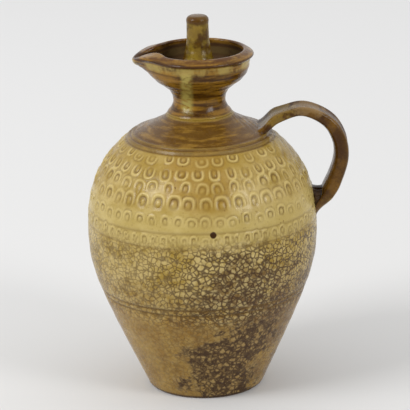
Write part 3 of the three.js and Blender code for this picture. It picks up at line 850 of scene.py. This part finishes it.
def crazed(n, groups, colour):
    """Cracks: thin on the left, dark and dense at the front right, widest where the dark glaze crawled."""
    cloud, crazing, patch = groups["cloud"], groups["crazing"], groups["patch"]
    crawl = n.group(patch, Centre=(0.014, -0.066, 0.036), Radius=0.034, Ragged=0.55, Grain=0.012)
    for centre, radius, grain in CRAWLED_PATCHES:
        crawl = n.larger(crawl, n.group(patch, Centre=centre, Radius=radius, Ragged=0.7, Grain=grain))
    dense = n.group(patch, Centre=(0.024, -0.086, 0.112), Radius=0.042, Ragged=0.4, Grain=0.02)
    cracked = n.larger(height_band(n, 0.060, 0.085, 0.138, 0.156), crawl)
    cracked = n.larger(cracked, n.times(height_band(n, 0.0, 0.01, 0.07, 0.09), 0.45))
    more_right = n.math("ADD", 0.6, n.times(share_along(n, "X", -0.07, 0.02), 0.4))
    wider = n.math("ADD", n.times(dense, 0.07), n.times(crawl, 0.13))
    lines = n.group(crazing, Cell_Size=0.0040, Width=n.math("ADD", 0.15, wider))
    lines = n.times(lines, n.times(cracked, more_right))
    pale_cells = n.group(cloud, Size=0.0045, Low=0.44, High=0.56, Shift=(2, 0, 0))
    cell_light = n.times(n.larger(dense, n.times(cracked, 0.5)), pale_cells)
    colour = n.mix(n.times(cell_light, 0.5), colour, CREAM)
    colour = n.mix(n.times(crawl, 0.6), colour, POT_CRAWLED)
    clots = n.times(crawl, n.group(cloud, Size=0.006, Low=0.48, High=0.58, Shift=(1, 0, 0)))
    colour = n.mix(n.times(clots, 0.85), colour, DEEP)
    return n.mix(n.times(lines, 0.92), colour, CRACK), lines, crawl


def decorated(n, groups, colour):
    """Brown pools in the pressed hollows, pale glaze on the edges, then the brown cap and iron specks."""
    cloud, speckle, patch = groups["cloud"], groups["speckle"], groups["patch"]
    pressed = n.attribute("pressed")
    raised = n.attribute("raised")
    colour = n.mix(n.times(pressed, 0.95), colour, POT_HOLLOW)
    colour = n.mix(n.times(raised, 0.85), colour, POT_EDGE)

    # Brown cap between the ring and the neck, in turned streaks
    cap = share_along(n, "Z", 0.2125, 0.2168)
    streak = n.group(cloud, Size=0.010, Low=0.45, High=0.68, Shift=(0.5, 0.2, 0), Squeeze=(0.6, 0.6, 5))
    cap_colour = n.mix(streak, CAP_DARK, CAP_LIGHT)
    cap_colour = n.mix(n.times(raised, 0.5), cap_colour, OLIVE)
    colour = n.mix(n.times(cap, 0.92), colour, cap_colour)
    seam = share_along(n, "Z", 0.2325, 0.2338)
    colour = n.mix(n.times(seam, 0.6), colour, OLIVE)
    colour = n.mix(n.times(n.group(speckle, Size=0.0018, Amount=0.6), 0.75), colour, BROWN)
    pit = n.group(patch, Centre=(0.0085, -0.0935, 0.157), Radius=0.0028, Ragged=0.1)
    return n.mix(pit, colour, DEEP)


def pot_glaze(groups):
    material, n, shader = new_glaze("pot glaze")
    colour = smoked(n, groups, ash_colour(n, groups))
    colour, lines, crawl = crazed(n, groups, colour)
    colour = decorated(n, groups, colour)

    # Painted shadow as a thin dark line on the foot's chamfer, and bare clay underneath
    foot_shadow = n.rest(share_along(n, "Z", 0.0016, 0.0034))
    colour = n.mix(n.times(foot_shadow, 0.85), colour, DEEP)
    underside = n.rest(share_along(n, "Z", 0.0004, 0.0012))
    colour = n.mix(underside, colour, BARE)

    rough = n.ramp(n.group(groups["cloud"], Size=0.006, Low=0.3, High=0.7), 0.0, 1.0, 0.2, 0.36)
    rough = n.larger(rough, n.times(underside, 0.85))
    rough = n.larger(rough, n.times(crawl, 0.42))
    dimple = n.noise(n.place(), 260.0, 3.0)
    relief = n.math("SUBTRACT", n.times(dimple, 0.5), n.times(lines, 0.6))
    finish_glaze(n, shader, colour, rough, relief)
    return material


def brown_glaze(name, groups, dark, light, patches, low, high, squeeze=(1, 1, 1)):
    """Brown glaze that breaks to yellow where it runs thin, with patches at chosen places."""
    material, n, shader = new_glaze(name)
    cloud, speckle, patch = groups["cloud"], groups["speckle"], groups["patch"]
    bands = n.group(cloud, Size=0.016, Low=low, High=high, Shift=(0.2, 0.4, 0), Squeeze=squeeze)
    spots = n.group(cloud, Size=0.0045, Low=0.5, High=0.68, Shift=(0.9, 0, 0.3))
    colour = n.mix(bands, dark, light)
    colour = n.mix(n.times(spots, 0.5), colour, DEEP)
    for centre, radius, shade, cover in patches:
        spot = n.group(patch, Centre=centre, Radius=radius, Ragged=0.6, Grain=0.008)
        colour = n.mix(n.times(spot, cover), colour, shade)
    colour = n.mix(n.times(n.group(speckle, Size=0.0017, Amount=0.7), 0.7), colour, DEEP)
    colour = n.mix(n.times(n.group(speckle, Size=0.0026, Amount=0.3), 0.35), colour, OLIVE)
    rough = n.ramp(n.group(cloud, Size=0.005, Low=0.3, High=0.7), 0.0, 1.0, 0.17, 0.33)
    finish_glaze(n, shader, colour, rough, n.noise(n.place(), 300.0, 3.0))
    return material, n, shader, colour


def neck_glaze(groups):
    material, n, shader, colour = brown_glaze(
        "neck glaze", groups, NECK_DARK, NECK_LIGHT, (), 0.36, 0.6, squeeze=(0.5, 0.5, 5))
    cloud = groups["cloud"]

    # Yellow run down the front of the neck and bowl
    front = n.rest(share_along(n, "Y", -0.012, -0.006))
    left = share_along(n, "X", -0.0165, -0.0125)
    right = share_along(n, "X", -0.0085, -0.0035)
    run = n.times(n.times(left, n.rest(right)), front)
    run = n.times(run, height_band(n, 0.236, 0.244, 0.280, 0.2825))
    uneven = n.group(cloud, Size=0.006, Low=0.28, High=0.56, Shift=(0, 0, 0.7), Squeeze=(1, 1, 2.5))
    colour = n.mix(n.times(n.times(run, uneven), 0.95), colour, NECK_RUN)

    # Yellow streaks under the collar, its dark edge and the streaked rim
    under_collar = height_band(n, 0.2735, 0.277, 0.2805, 0.2818)
    streaks = n.group(cloud, Size=0.014, Low=0.36, High=0.56, Shift=(0, 0, 0.7), Squeeze=(1, 1, 0.5))
    colour = n.mix(n.times(n.times(under_collar, streaks), 0.85), colour, COLLAR_LIGHT)
    edge = height_band(n, 0.2815, 0.2822, 0.2836, 0.2848)
    colour = n.mix(n.times(edge, 0.85), colour, COLLAR_EDGE)
    rim = share_along(n, "Z", 0.2845, 0.2862)
    rim_streak = n.group(cloud, Size=0.012, Low=0.42, High=0.62, Shift=(0.1, 0, 0), Squeeze=(1, 1, 3))
    colour = n.mix(n.times(rim, 0.85), colour, n.mix(rim_streak, RIM_DARK, RIM_LIGHT))

    # Painted shade inside the mouth, which is also dull there; olive at the seam with the pot
    inside = n.attribute("inside")
    colour = n.mix(n.times(inside, 0.85), colour, SHADED)
    n.feed(shader.inputs["Roughness"], n.math("ADD", 0.22, n.times(inside, 0.5)))
    foot = n.rest(share_along(n, "Z", 0.2352, 0.2366))
    colour = n.mix(n.times(foot, 0.7), colour, OLIVE)
    n.feed(shader.inputs["Base Color"], colour)
    return material


def handle_glaze(groups):
    material, n, shader, colour = brown_glaze(
        "handle glaze", groups, HANDLE_DARK, HANDLE_LIGHT, HANDLE_PATCHES, 0.42, 0.7)
    # Painted highlight along the ridges beside the channel
    colour = n.mix(n.times(n.attribute("ridge_highlight"), 0.25), colour, RIDGE_HIGHLIGHT)
    n.feed(shader.inputs["Base Color"], colour)
    return material


def lid_glaze(groups):
    material, n, shader, colour = brown_glaze(
        "lid glaze", groups, LID_DARK, LID_LIGHT, KNOB_PATCHES, 0.38, 0.6)
    # Painted shade on the low part of the lid, down in the mouth, which is also dull there
    low = n.rest(share_along(n, "Z", 0.268, 0.277))
    colour = n.mix(n.times(low, 0.85), colour, SHADED)
    n.feed(shader.inputs["Roughness"], n.math("ADD", 0.24, n.times(low, 0.55)))
    top = share_along(n, "Z", 0.3085, 0.3115)
    colour = n.mix(n.times(top, 0.8), colour, KNOB_TOP)
    n.feed(shader.inputs["Base Color"], colour)
    return material


def clay_glaze(groups):
    material, *_ = brown_glaze("pressed clay", groups, CLAY_DARK, CLAY_LIGHT, (), 0.45, 0.7)
    return material


# Floor, light and camera

def floor_material():
    material, n, shader = new_glaze("pale floor")
    # Painted shade: the floor is darker in front of the jug and paler far behind it
    depth = share_along(n, "Y", -1.2, 1.6)
    n.feed(shader.inputs["Base Color"], n.mix(depth, (0.57, 0.567, 0.56, 1), (0.79, 0.79, 0.79, 1)))
    shader.inputs["Roughness"].default_value = 0.9
    shader.inputs["Specular IOR Level"].default_value = 0.0
    return material


def make_floor():
    plane = bmesh.new()
    bmesh.ops.create_grid(plane, x_segments=1, y_segments=1, size=12)
    floor = finished("floor", plane)
    floor.data.materials.append(floor_material())


LAMP_AIM = Vector((0, 0, 0.15))


def area_light(name, place, size, energy):
    lamp = bpy.data.lights.new(name, "AREA")
    lamp.shape = "RECTANGLE"
    lamp.size, lamp.size_y = size
    lamp.energy = energy
    light = bpy.data.objects.new(name, lamp)
    light.location = place
    light.rotation_euler = (LAMP_AIM - Vector(place)).to_track_quat("-Z", "Y").to_euler()
    bpy.context.scene.collection.objects.link(light)


def make_light():
    area_light("window", (-1.9, -1.1, 1.7), (1.2, 1.2), 42)
    area_light("soft box", (1.6, -1.4, 1.2), (0.7, 1.0), 21)
    world = bpy.data.worlds.new("studio")
    world.use_nodes = True
    n = Nodes(world.node_tree)
    background = world.node_tree.nodes["Background"]

    # Brightest above and behind the jug, dim in front of it and below
    direction = n.put("ShaderNodeSeparateXYZ")
    n.feed(direction.inputs[0], n.put("ShaderNodeTexCoord").outputs["Generated"])
    behind = n.times(direction.outputs["Y"], 0.6)
    above = n.times(direction.outputs["Z"], 0.8)
    glow = n.ramp(n.math("ADD", behind, above), -0.35, 0.6, 0.25, 1.15)
    n.feed(background.inputs["Strength"], glow)
    background.inputs["Color"].default_value = (0.80, 0.80, 0.80, 1)
    bpy.context.scene.world = world


# Long lens from a little above, fitted to the photograph
CAMERA_DISTANCE = 2.3
CAMERA_ELEVATION = math.radians(17)
CAMERA_AIM = Vector((0.0025, 0, 0.154))
CAMERA_ROLL = math.radians(-1.4)
LENS = 242.5


def make_camera():
    camera = bpy.data.objects.new("camera", bpy.data.cameras.new("camera"))
    camera.data.lens = LENS
    camera.data.sensor_width = 36
    away = Vector((0, -math.cos(CAMERA_ELEVATION), math.sin(CAMERA_ELEVATION)))
    turn = (-away).to_track_quat("-Z", "Y").to_matrix().to_4x4() @ Matrix.Rotation(CAMERA_ROLL, 4, "Z")
    camera.matrix_world = Matrix.Translation(CAMERA_AIM + CAMERA_DISTANCE * away) @ turn
    bpy.context.scene.collection.objects.link(camera)
    bpy.context.scene.camera = camera


def fit(piece, node, body, material):
    """Puts a finished piece in the place of its plain solid."""
    piece.data.materials.append(material)
    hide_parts(node)
    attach(piece, body)


make_camera()
make_floor()
make_light()
bpy.context.scene.view_settings.view_transform = "Standard"

groups = {
    "crazing": crazing_group(),
    "speckle": speckle_group(),
    "cloud": cloud_group(),
    "patch": patch_group(),
}
fit(make_pot(), "body", "jug", pot_glaze(groups))
fit(make_neck_and_mouth(), "neck_and_mouth", "jug", neck_glaze(groups))
fit(make_handle(), "handle", "jug", handle_glaze(groups))
fit(make_wad(), "luting_wad", "jug", clay_glaze(groups))
fit(make_lid(), "lid", "lid", lid_glaze(groups))
